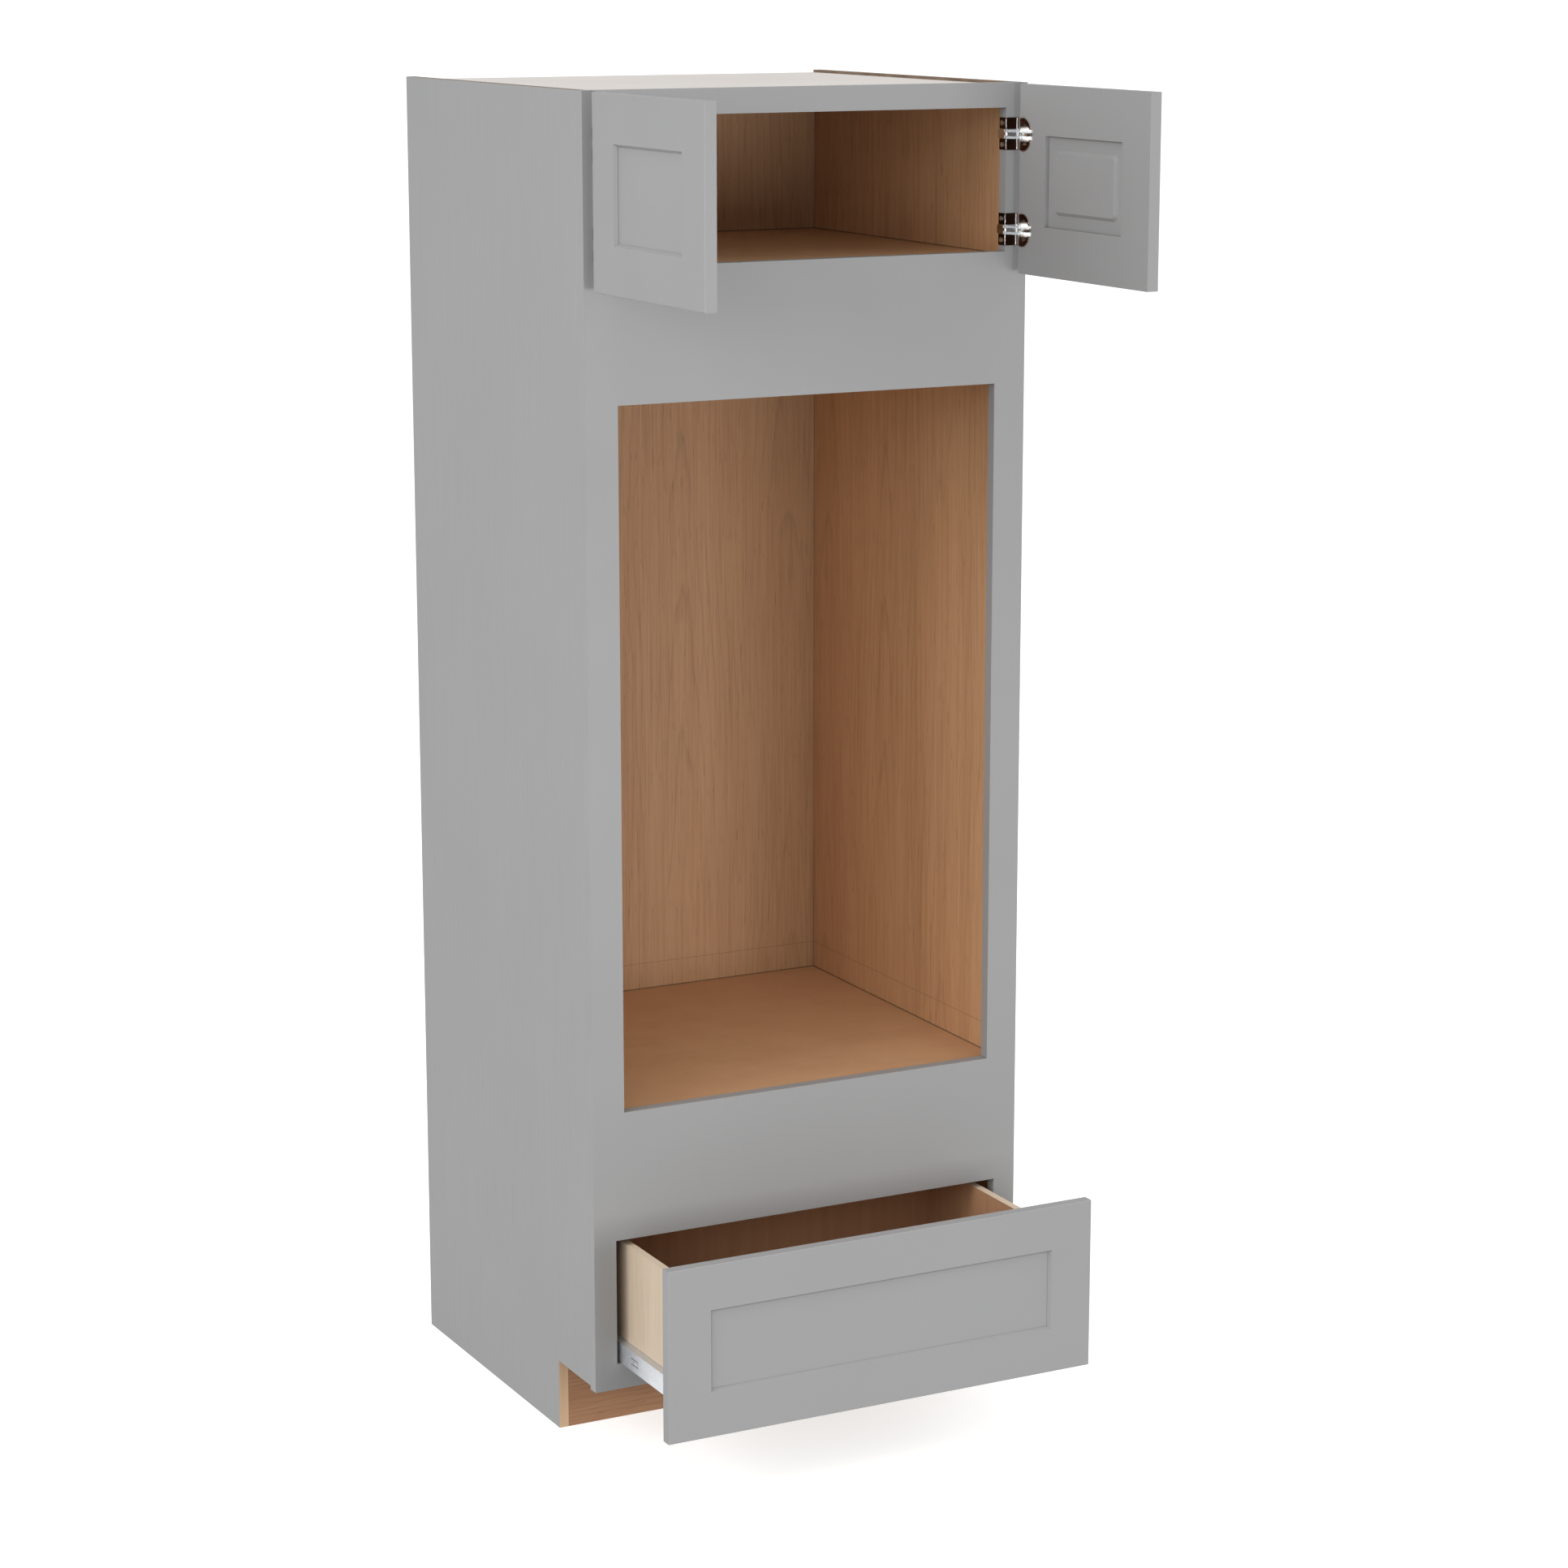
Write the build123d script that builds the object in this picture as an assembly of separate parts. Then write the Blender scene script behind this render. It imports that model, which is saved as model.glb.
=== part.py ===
from build123d import *
import os
from math import cos, radians

# A tall oven and pantry cabinet: a face-frame carcass with two doors, an appliance opening and a drawer.
# Millimetres. The front faces -Y and +Z is up. The origin is on the floor, midway across the width, and
# midway between the cabinet's back and the free edges of the doors, which stand open at a right angle.
# Everything is laid out with y = 0 on the front of the face frame, and shifted when it is saved.

# Overall sizes
CABINET_WIDTH = 762.0
CABINET_HEIGHT = 2133.6
CABINET_DEPTH = 685.8
TOE_KICK_HEIGHT = 114.3
TOE_KICK_SETBACK = 141.6

# Sheet stock
SIDE_THICKNESS = 15.875
SHELF_THICKNESS = 15.875
OVEN_DECK_THICKNESS = 19.05
TOP_THICKNESS = 12.7
BACK_THICKNESS = 6.35
RAIL_STOCK = 15.875
DADO_DEPTH = 6.35
RABBET_WIDTH = 9.5

# Face frame
FRAME_THICKNESS = 19.05
STILE_WIDTH = 38.1
FRAME_DROP = 6.35
TOP_RAIL_HEIGHT = 38.1
UPPER_RAIL_HEIGHT = 206.375
LOWER_RAIL_HEIGHT = 207.975
BOTTOM_RAIL_HEIGHT = 41.25
UPPER_OPENING_HEIGHT = 222.25
DRAWER_OPENING_HEIGHT = 204.8
OVEN_FILLER_WIDTH = 15.875
TOP_PANEL_DROP = 4.3
UPPER_DECK_DROP = 7.85
OVEN_DECK_DROP = 8.975

# Rails, cleats and blocks that stiffen the carcass
TOP_HANGING_RAIL_HEIGHT = 40.0
HANGING_RAIL_HEIGHT = 60.0
CLEAT_SIZE = 19.05
CLEAT_END_GAP = 20.0
CORNER_BLOCK_LEG = 70.0
CORNER_BLOCK_HEIGHT = 38.1

# Doors and drawer front, built as five-piece frames
FRONT_THICKNESS = 19.05
FRONT_BAR_WIDTH = 76.2
STICKING_WIDTH = 4.0
STICKING_NOSE = 0.8
PANEL_RECESS = 6.5
PANEL_TONGUE = 5.7
GROOVE_DEPTH = 9.5
PANEL_EDGE_GAP = 1.0
FIELD_MARGIN = 20.0
FIELD_SETBACK = 1.65
FIELD_CORNER = 12.0
FIELD_BEVEL_ANGLE = 45.0
EASED_EDGE = 1.2
FRONT_STANDOFF = 2.0
SIDE_REVEAL = 6.35
DOOR_MEETING_GAP = 3.175
DOOR_TOP_REVEAL = 1.6
DOOR_BOTTOM_OVERLAP = 33.35
DRAWER_FRONT_BOTTOM_REVEAL = 1.6
DRAWER_FRONT_TOP_OVERLAP = 32.45
DOOR_REST_ANGLE = 90.0
DRAWER_REST_OPENING = 232.05

# Drawer box
BOX_SIDE_GAP = 20.4
BOX_LENGTH = 406.4
BOX_HEIGHT = 160.0
BOX_STOCK = 12.7
BOX_BOTTOM_THICKNESS = 6.35
BOX_BOTTOM_LIFT = 12.7

# Telescopic runners under the drawer box, one set each side
RUNNER_STEEL = 1.2
RUNNER_JAMB_GAP = 6.9
RUNNER_RAIL_GAP = 0.8
RUNNER_HEIGHT = 33.0
RUNNER_WIDTH = 30.0
RUNNER_LENGTH = 402.0
RUNNER_LAYER_GAP = 0.6
RUNNER_START = 2.0
RUNNER_INNER_WEB_LIFT = 6.0
RUNNER_FIXED_STEEL = 1.5
RUNNER_FOOT_THICKNESS = 1.5
RUNNER_HOOK_HEIGHT = 12.0
RUNNER_STOP_LENGTH = 14.0
BEARER_END_GAP = 3.0
TAB_LENGTH = 26.0
TAB_HEIGHT = 11.0
TAB_SLOT = 1.4
TAB_HOLE_RADIUS = 1.8
TAB_FROM_FRONT = 172.0
CLIP_SIZE = (26.0, 40.0, 17.0)

# Hinges, two on each door: an angled base on the jamb, an arm, and a flanged cup let into the door
HINGE_HEIGHTS = (67.5, 215.1)
HINGE_PLATE_HEIGHT = 50.0
HINGE_PLATE_STEEL = 0.9
HINGE_PLATE_REACH = 22.0
HINGE_RIB_HEIGHT = 14.0
HINGE_RIB_RISE = 2.6
ARM_PIVOT_INSET = 3.3
ARM_PIVOT_FORWARD = 6.0
ARM_TIP_GAP = 2.94
ARM_THICKNESS = 3.2
ARM_SLOT_HEIGHT = 6.0
ARM_TURN_PER_DOOR_TURN = -0.65
ARM_PIN_RADIUS = 0.9
PIN_CLEARANCE = 0.05
KNUCKLE_RADIUS = 1.8
KNUCKLE_HEIGHT = 5.0
CUP_RADIUS = 17.5
CUP_CENTRE_INSET = 14.5
CUP_EDGE_INSET = 2.4
CUP_DEPTH = 11.0
CUP_STEEL = 1.0
ARM_CHANNEL_HEIGHT = 15.6
ARM_CHANNEL_BEYOND_JAMB = 5.45
FLANGE_RADIUS = 26.0
FLANGE_CENTRE_INSET = 8.6
FLANGE_EDGE_INSET = 0.3
FLANGE_STEEL = 0.8
CUP_BRIDGE_START = 5.5
CUP_BRIDGE_END = 24.0

# Screws
SCREW_RADIUS = 2.0
SCREW_HEAD_RADIUS = 4.0
SCREW_HEAD_HEIGHT = 1.8
SCREW_LENGTH = 12.0
RECESS_RADIUS = 1.5
RECESS_DEPTH = 0.9
FLANGE_SCREW_RADIUS = 3.2
FLANGE_SCREW_LENGTH = 9.0
FLANGE_SCREW_SPREAD = 21.0
FLANGE_SCREW_INSET = 11.0
FRONT_SCREW_LENGTH = 24.0
FRONT_SCREW_BELOW_TOP = 17.0

# Places worked out from the sizes above
HALF_WIDTH = CABINET_WIDTH / 2
INNER_X = HALF_WIDTH - SIDE_THICKNESS
JAMB_X = HALF_WIDTH - STILE_WIDTH
BACK_Y = CABINET_DEPTH
BACK_PANEL_Y = BACK_Y - BACK_THICKNESS
FRAME_Y = FRAME_THICKNESS

FRAME_BOTTOM_Z = TOE_KICK_HEIGHT - FRAME_DROP
BOTTOM_RAIL_TOP_Z = FRAME_BOTTOM_Z + BOTTOM_RAIL_HEIGHT
LOWER_RAIL_BOTTOM_Z = BOTTOM_RAIL_TOP_Z + DRAWER_OPENING_HEIGHT
LOWER_RAIL_TOP_Z = LOWER_RAIL_BOTTOM_Z + LOWER_RAIL_HEIGHT
TOP_RAIL_BOTTOM_Z = CABINET_HEIGHT - TOP_RAIL_HEIGHT
UPPER_RAIL_TOP_Z = TOP_RAIL_BOTTOM_Z - UPPER_OPENING_HEIGHT
UPPER_RAIL_BOTTOM_Z = UPPER_RAIL_TOP_Z - UPPER_RAIL_HEIGHT
TOP_PANEL_TOP_Z = CABINET_HEIGHT - TOP_PANEL_DROP
TOP_PANEL_BOTTOM_Z = TOP_PANEL_TOP_Z - TOP_THICKNESS
UPPER_DECK_TOP_Z = UPPER_RAIL_TOP_Z - UPPER_DECK_DROP
UPPER_DECK_BOTTOM_Z = UPPER_DECK_TOP_Z - SHELF_THICKNESS
OVEN_DECK_TOP_Z = LOWER_RAIL_TOP_Z - OVEN_DECK_DROP
OVEN_DECK_BOTTOM_Z = OVEN_DECK_TOP_Z - OVEN_DECK_THICKNESS
BOTTOM_DECK_TOP_Z = TOE_KICK_HEIGHT + SHELF_THICKNESS

FRONT_BACK_Y = -FRONT_STANDOFF
FRONT_FACE_Y = FRONT_BACK_Y - FRONT_THICKNESS
FRONT_EDGE_X = HALF_WIDTH - SIDE_REVEAL
DOOR_INNER_X = DOOR_MEETING_GAP / 2
DOOR_WIDTH = FRONT_EDGE_X - DOOR_INNER_X
DOOR_BOTTOM_Z = UPPER_RAIL_TOP_Z - DOOR_BOTTOM_OVERLAP
DOOR_TOP_Z = CABINET_HEIGHT - DOOR_TOP_REVEAL
DRAWER_FRONT_BOTTOM_Z = FRAME_BOTTOM_Z + DRAWER_FRONT_BOTTOM_REVEAL
DRAWER_FRONT_TOP_Z = LOWER_RAIL_BOTTOM_Z + DRAWER_FRONT_TOP_OVERLAP
OPEN_DOOR_REACH = DOOR_WIDTH - FRONT_FACE_Y
ORIGIN_SHIFT_Y = (OPEN_DOOR_REACH - CABINET_DEPTH) / 2

RUNNER_OUTER_X = JAMB_X - RUNNER_JAMB_GAP
RUNNER_INNER_X = RUNNER_OUTER_X - RUNNER_WIDTH
RUNNER_BOTTOM_Z = BOTTOM_RAIL_TOP_Z + RUNNER_RAIL_GAP
RUNNER_TOP_Z = RUNNER_BOTTOM_Z + RUNNER_HEIGHT
MIDDLE_INSET = RUNNER_STEEL + RUNNER_LAYER_GAP
FIXED_INSET = 2 * MIDDLE_INSET
FIXED_BOTTOM_Z = RUNNER_BOTTOM_Z + RUNNER_LAYER_GAP + RUNNER_STEEL
FIXED_TOP_Z = RUNNER_TOP_Z - FIXED_INSET
FIXED_END_Y = RUNNER_START + RUNNER_LENGTH
MIDDLE_REST_SHIFT = -DRAWER_REST_OPENING / 2

BOX_OUTER_X = JAMB_X - BOX_SIDE_GAP
BOX_INNER_X = BOX_OUTER_X - BOX_STOCK
BOX_BOTTOM_Z = RUNNER_TOP_Z
BOX_TOP_Z = BOX_BOTTOM_Z + BOX_HEIGHT
BOX_END_Y = FRONT_BACK_Y + BOX_LENGTH
BOX_FLOOR_Z = BOX_BOTTOM_Z + BOX_BOTTOM_LIFT
BOX_JOINT_X = BOX_INNER_X + BOX_STOCK / 2

FIELD_HEIGHT = FRONT_THICKNESS - PANEL_RECESS - PANEL_TONGUE - FIELD_SETBACK
HINGE_ZS = [DOOR_BOTTOM_Z + height for height in HINGE_HEIGHTS]
ARM_PIVOT_X = JAMB_X - ARM_PIVOT_INSET
ARM_REST_ANGLE = ARM_TURN_PER_DOOR_TURN * DOOR_REST_ANGLE
OPEN_DOOR_INNER_X = FRONT_EDGE_X - FRONT_THICKNESS
ARM_LENGTH = (OPEN_DOOR_INNER_X - ARM_TIP_GAP - ARM_PIVOT_X) / cos(radians(ARM_REST_ANGLE))
CUP_CHANNEL_X = JAMB_X - ARM_CHANNEL_BEYOND_JAMB


def slab(x0, x1, y0, y1, z0, z1):
    """A rectangular board between two opposite corners."""
    return Pos((x0 + x1) / 2, (y0 + y1) / 2, (z0 + z1) / 2) * Box(x1 - x0, y1 - y0, z1 - z0)


def upright(x, y, z0, z1, radius):
    """A vertical round bar."""
    return Pos(x, y, (z0 + z1) / 2) * Cylinder(radius, z1 - z0)


def mirrored(shape):
    """The same piece on the other side of the cabinet."""
    return mirror(shape, about=Plane.YZ)


def save(name, *shapes):
    """Write one sub-part, as one solid or as a group of separate solids."""
    solids = [solid for shape in shapes for solid in (Pos(0, ORIGIN_SHIFT_Y, 0) * shape).solids()]
    export_step(solids[0] if len(solids) == 1 else Compound(children=solids), f"parts/{name}.step")


def save_pair(stem, shape):
    """Write a right-hand sub-part and its mirror image."""
    save(f"{stem}_right", shape)
    save(f"{stem}_left", mirrored(shape))


def carcass_boards():
    """Decks, top and back, which run into the side panels."""
    dado_x = INNER_X + DADO_DEPTH
    rabbet_x = INNER_X + RABBET_WIDTH
    return {
        "top_panel": slab(-dado_x, dado_x, FRAME_Y, BACK_Y, TOP_PANEL_BOTTOM_Z, TOP_PANEL_TOP_Z),
        "upper_deck": slab(-dado_x, dado_x, FRAME_Y, BACK_PANEL_Y, UPPER_DECK_BOTTOM_Z, UPPER_DECK_TOP_Z),
        "oven_deck": slab(-dado_x, dado_x, FRAME_Y, BACK_PANEL_Y, OVEN_DECK_BOTTOM_Z, OVEN_DECK_TOP_Z),
        "bottom_deck": slab(-dado_x, dado_x, FRAME_Y, BACK_PANEL_Y, TOE_KICK_HEIGHT, BOTTOM_DECK_TOP_Z),
        "back_panel": slab(-rabbet_x, rabbet_x, BACK_PANEL_Y, BACK_Y, 0, TOP_PANEL_BOTTOM_Z),
    }


def side_panel(boards):
    """Side with its toe notch, its dadoes for the decks and its rabbet for the back."""
    panel = slab(INNER_X, HALF_WIDTH, FRAME_Y, BACK_Y, 0, CABINET_HEIGHT)
    panel -= slab(INNER_X, HALF_WIDTH, FRAME_Y, TOE_KICK_SETBACK, 0, TOE_KICK_HEIGHT)
    for board in boards.values():
        panel -= board
    return panel


def face_frame(stile_screws):
    """Stiles full height, rails between them, and fillers that narrow the appliance opening."""
    filler_x = JAMB_X - OVEN_FILLER_WIDTH
    stile = slab(JAMB_X, HALF_WIDTH, 0, FRAME_Y, FRAME_BOTTOM_Z, CABINET_HEIGHT)
    for screw in stile_screws:
        stile -= screw
    save_pair("frame_stile", stile)
    save_pair("oven_filler", slab(filler_x, JAMB_X, 0, FRAME_Y, LOWER_RAIL_TOP_Z, UPPER_RAIL_BOTTOM_Z))
    rails = {
        "frame_rail_top": (TOP_RAIL_BOTTOM_Z, CABINET_HEIGHT),
        "frame_rail_upper": (UPPER_RAIL_BOTTOM_Z, UPPER_RAIL_TOP_Z),
        "frame_rail_lower": (LOWER_RAIL_BOTTOM_Z, LOWER_RAIL_TOP_Z),
        "frame_rail_bottom": (FRAME_BOTTOM_Z, BOTTOM_RAIL_TOP_Z),
    }
    for name, (bottom, top) in rails.items():
        save(name, slab(-JAMB_X, JAMB_X, 0, FRAME_Y, bottom, top))


def carcass_stiffeners():
    """Toe-kick board, hanging rails, deck cleats and corner blocks."""
    kick_back = TOE_KICK_SETBACK + RAIL_STOCK
    rail_y = BACK_PANEL_Y - RAIL_STOCK
    save("toe_kick_board", slab(-INNER_X, INNER_X, TOE_KICK_SETBACK, kick_back, 0, TOE_KICK_HEIGHT))
    save("rear_base_rail", slab(-INNER_X, INNER_X, rail_y, BACK_PANEL_Y, 0, TOE_KICK_HEIGHT))
    hanging = {
        "hanging_rail_top": (TOP_PANEL_BOTTOM_Z, TOP_HANGING_RAIL_HEIGHT),
        "hanging_rail_middle": (UPPER_DECK_BOTTOM_Z, HANGING_RAIL_HEIGHT),
        "hanging_rail_bottom": (OVEN_DECK_BOTTOM_Z, HANGING_RAIL_HEIGHT),
    }
    for name, (top, height) in hanging.items():
        save(name, slab(-INNER_X, INNER_X, rail_y, BACK_PANEL_Y, top - height, top))
    cleat = slab(INNER_X - CLEAT_SIZE, INNER_X, FRAME_Y + CLEAT_END_GAP, rail_y - CLEAT_END_GAP,
                 OVEN_DECK_BOTTOM_Z - CLEAT_SIZE, OVEN_DECK_BOTTOM_Z)
    save("oven_deck_cleats", cleat, mirrored(cleat))
    front_block = corner_block(kick_back, 1)
    rear_block = corner_block(rail_y, -1)
    save("corner_blocks", front_block, mirrored(front_block), rear_block, mirrored(rear_block))


def corner_block(y, inward):
    """Triangular glue block under the bottom deck, in the corner of the right side and a cross board."""
    outline = Polyline((INNER_X, y), (INNER_X - CORNER_BLOCK_LEG, y),
                       (INNER_X, y + inward * CORNER_BLOCK_LEG), close=True)
    bottom = TOE_KICK_HEIGHT - CORNER_BLOCK_HEIGHT
    return Pos(0, 0, bottom) * extrude(make_face(outline), CORNER_BLOCK_HEIGHT, dir=(0, 0, 1))


def bar_section(plane):
    """Section of a frame bar: outer edge at 0, sloped sticking and panel groove at the inner edge."""
    inner = FRONT_BAR_WIDTH
    outline = Polyline(
        (0, 0),
        (inner - STICKING_WIDTH, 0),
        (inner, PANEL_RECESS - STICKING_NOSE),
        (inner, PANEL_RECESS),
        (inner - GROOVE_DEPTH, PANEL_RECESS),
        (inner - GROOVE_DEPTH, PANEL_RECESS + PANEL_TONGUE),
        (inner, PANEL_RECESS + PANEL_TONGUE),
        (inner, FRONT_THICKNESS),
        (0, FRONT_THICKNESS),
        close=True,
    )
    return plane * make_face(outline)


def framed_front(x0, x1, z0, z1):
    """A closed door or drawer front: coped stiles and rails with eased outer edges around a fielded panel."""
    middle_x = (x0 + x1) / 2
    middle_z = (z0 + z1) / 2
    stile_plane = Plane(origin=(x0, FRONT_FACE_Y, z0), x_dir=(1, 0, 0), z_dir=(0, 0, 1))
    rail_x = x0 + FRONT_BAR_WIDTH - GROOVE_DEPTH
    rail_plane = Plane(origin=(rail_x, FRONT_FACE_Y, z0), x_dir=(0, 0, 1), z_dir=(-1, 0, 0))
    stile_low = extrude(bar_section(stile_plane), z1 - z0, dir=(0, 0, 1))
    stile_high = mirror(stile_low, about=Plane(origin=(middle_x, 0, 0), z_dir=(1, 0, 0)))
    rail_length = x1 - x0 - 2 * (rail_x - x0)
    rail_blank = extrude(bar_section(rail_plane), rail_length, dir=(1, 0, 0))
    rail_bottom = rail_blank - stile_low - stile_high
    rail_top = mirror(rail_bottom, about=Plane(origin=(0, 0, middle_z), z_dir=(0, 0, 1)))
    envelope = slab(x0, x1, FRONT_FACE_Y, FRONT_BACK_Y, z0, z1)
    envelope = fillet(envelope.faces().sort_by(Axis.Y)[0].edges(), EASED_EDGE)
    pieces = {
        "stile_low": stile_low & envelope,
        "stile_high": stile_high & envelope,
        "rail_bottom": rail_bottom & envelope,
        "rail_top": rail_top & envelope,
    }
    pieces["panel"] = front_panel(x0, x1, z0, z1, middle_x, middle_z)
    return pieces


def front_panel(x0, x1, z0, z1, middle_x, middle_z):
    """Panel flat on the outside, with a raised field that has soft bevels on the inside."""
    inset = FRONT_BAR_WIDTH - GROOVE_DEPTH + PANEL_EDGE_GAP
    front = FRONT_FACE_Y + PANEL_RECESS
    back = front + PANEL_TONGUE
    panel = slab(x0 + inset, x1 - inset, front, back, z0 + inset, z1 - inset)
    field_inset = 2 * (FRONT_BAR_WIDTH + FIELD_MARGIN)
    field_plane = Plane(origin=(middle_x, back, middle_z), x_dir=(1, 0, 0), z_dir=(0, 1, 0))
    field = field_plane * RectangleRounded(x1 - x0 - field_inset, z1 - z0 - field_inset, FIELD_CORNER)
    return panel + extrude(field, FIELD_HEIGHT, taper=FIELD_BEVEL_ANGLE)


def door_point(edge_inset, depth):
    """Place on the closed right door: inset from its hinge edge, and depth in from its back face."""
    return FRONT_EDGE_X - edge_inset, FRONT_BACK_Y - depth


def disc_cut_flat(radius, centre_inset, edge_inset, start_depth, end_depth, z):
    """A disc lying in the back of the closed right door, cut flat on the side of the hinge edge."""
    x, _ = door_point(centre_inset, 0)
    edge_x, _ = door_point(edge_inset, 0)
    _, y0 = door_point(0, end_depth)
    _, y1 = door_point(0, start_depth)
    disc = Pos(x, (y0 + y1) / 2, z) * Rot(90, 0, 0) * Cylinder(radius, y1 - y0)
    return disc & slab(x - radius, edge_x, y0, y1, z - radius, z + radius)


def arm_channel(depth, z):
    """The way through the cup's rim that the arm takes when the door is closed."""
    mouth_x, _ = door_point(CUP_CENTRE_INSET, 0)
    _, y0 = door_point(0, depth)
    _, y1 = door_point(0, -FLANGE_STEEL)
    half = ARM_CHANNEL_HEIGHT / 2
    return slab(CUP_CHANNEL_X, mouth_x, y0, y1, z - half, z + half)


def flange_screw_places(z):
    """The two screws of one hinge flange."""
    x, y = door_point(FLANGE_SCREW_INSET, -FLANGE_STEEL)
    return [(x, y, z - FLANGE_SCREW_SPREAD), (x, y, z + FLANGE_SCREW_SPREAD)]


def screw_blank(place, head_radius, head_height, length):
    """A screw driven towards -Y, without its drive recess; the place is the outer face of its head."""
    x, y, z = place
    turn = Rot(90, 0, 0)
    blank = Pos(x, y - head_height / 2, z) * turn * Cylinder(head_radius, head_height)
    shank_length = length + head_height
    return blank + Pos(x, y - shank_length / 2, z) * turn * Cylinder(SCREW_RADIUS, shank_length)


def drive_recess(place, depth):
    """The recess in the head of a screw driven towards -Y."""
    return Pos(*place) * Rot(90, 0, 0) * Cylinder(RECESS_RADIUS, 2 * depth)


def hinge_cup(z):
    """Flanged cup with a bridge across it, its mouth open towards the jamb, and its two screws."""
    flange = disc_cut_flat(FLANGE_RADIUS, FLANGE_CENTRE_INSET, FLANGE_EDGE_INSET, -FLANGE_STEEL, 0, z)
    cup = disc_cut_flat(CUP_RADIUS, CUP_CENTRE_INSET, CUP_EDGE_INSET, 0, CUP_DEPTH, z)
    hollow = disc_cut_flat(CUP_RADIUS - CUP_STEEL, CUP_CENTRE_INSET, CUP_EDGE_INSET + CUP_STEEL,
                           -FLANGE_STEEL, CUP_DEPTH - CUP_STEEL, z)
    body = flange + cup - hollow - arm_channel(CUP_DEPTH - CUP_STEEL, z)
    x0, y0 = door_point(CUP_BRIDGE_END, CUP_DEPTH - CUP_STEEL)
    x1, y1 = door_point(CUP_BRIDGE_START, -FLANGE_STEEL)
    half = KNUCKLE_HEIGHT / 2
    body += slab(x0, x1, y0, y1, z - half, z + half)
    screws = []
    for place in flange_screw_places(z):
        blank = screw_blank(place, FLANGE_SCREW_RADIUS, FLANGE_STEEL, FLANGE_SCREW_LENGTH)
        body -= blank
        screws.append(blank - drive_recess(place, FLANGE_STEEL / 2))
    return [body, *screws]


def hinge_pocket(z):
    """Everything that one hinge cup needs cut out of the door."""
    pocket = disc_cut_flat(CUP_RADIUS, CUP_CENTRE_INSET, CUP_EDGE_INSET, 0, CUP_DEPTH, z)
    pocket += arm_channel(CUP_DEPTH - CUP_STEEL, z)
    for place in flange_screw_places(z):
        pocket += screw_blank(place, SCREW_RADIUS, FLANGE_STEEL, FLANGE_SCREW_LENGTH)
    return pocket


def hinge_base(z):
    """Steel angle that wraps the jamb, with a rib and the knuckle that carries the arm."""
    half = HINGE_PLATE_HEIGHT / 2
    rib_half = HINGE_RIB_HEIGHT / 2
    knuckle_half = KNUCKLE_HEIGHT / 2
    face_x = JAMB_X - HINGE_PLATE_STEEL
    rib_x = face_x - HINGE_RIB_RISE
    base = slab(face_x, JAMB_X, -HINGE_PLATE_STEEL, FRAME_Y, z - half, z + half)
    base += slab(face_x, JAMB_X + HINGE_PLATE_REACH, -HINGE_PLATE_STEEL, 0, z - half, z + half)
    base += slab(rib_x, face_x, 0, FRAME_Y, z - rib_half, z + rib_half)
    knuckle_back = ARM_PIVOT_X + KNUCKLE_RADIUS
    base += slab(rib_x, knuckle_back, -ARM_PIVOT_FORWARD, 0, z - knuckle_half, z + knuckle_half)
    base += upright(ARM_PIVOT_X, -ARM_PIVOT_FORWARD, z - knuckle_half, z + knuckle_half, KNUCKLE_RADIUS)
    return base - upright(ARM_PIVOT_X, -ARM_PIVOT_FORWARD, z - half, z + half, ARM_PIN_RADIUS + PIN_CLEARANCE)


def base_screws(z):
    """Two screws that hold one hinge base to the edge of the stile."""
    head_x = JAMB_X - HINGE_PLATE_STEEL - SCREW_HEAD_HEIGHT
    screws = []
    for screw_z in (z - HINGE_PLATE_HEIGHT / 3, z + HINGE_PLATE_HEIGHT / 3):
        turned = Pos(head_x, FRAME_Y / 2, screw_z) * Rot(0, 90, 0)
        screw = turned * (Pos(0, 0, SCREW_HEAD_HEIGHT / 2) * Cylinder(SCREW_HEAD_RADIUS, SCREW_HEAD_HEIGHT))
        screw += turned * (Pos(0, 0, SCREW_LENGTH / 2) * Cylinder(SCREW_RADIUS, SCREW_LENGTH))
        screws.append(screw - turned * Cylinder(RECESS_RADIUS, 2 * RECESS_DEPTH))
    return screws


def hinge_arm(z):
    """Forked arm with its pin, turned to where it stands when the door is open."""
    half = HINGE_RIB_HEIGHT / 2
    y = -ARM_PIVOT_FORWARD
    tip_x = ARM_PIVOT_X + ARM_LENGTH
    radius = ARM_THICKNESS / 2
    arm = slab(ARM_PIVOT_X, tip_x, y - radius, y + radius, z - half, z + half)
    arm += upright(ARM_PIVOT_X, y, z - half, z + half, radius)
    arm += upright(tip_x, y, z - half, z + half, radius)
    slot_half = ARM_SLOT_HEIGHT / 2
    arm -= slab(ARM_PIVOT_X - radius, tip_x + radius, y - radius, y + radius, z - slot_half, z + slot_half)
    arm += upright(ARM_PIVOT_X, y, z - half, z + half, ARM_PIN_RADIUS)
    pivot = Axis((ARM_PIVOT_X, y, 0), (0, 0, 1))
    return arm.rotate(pivot, ARM_REST_ANGLE)


def hinges(screws):
    """Bases with their screws, and arms, on both jambs."""
    bases = [hinge_base(z) for z in HINGE_ZS]
    for screw in screws:
        bases = [base - screw for base in bases]
    save_pair("hinge_bases", Compound(children=bases))
    save_pair("hinge_arms", Compound(children=[hinge_arm(z) for z in HINGE_ZS]))
    save("hinge_base_screws", *screws, *[mirrored(screw) for screw in screws])


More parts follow.
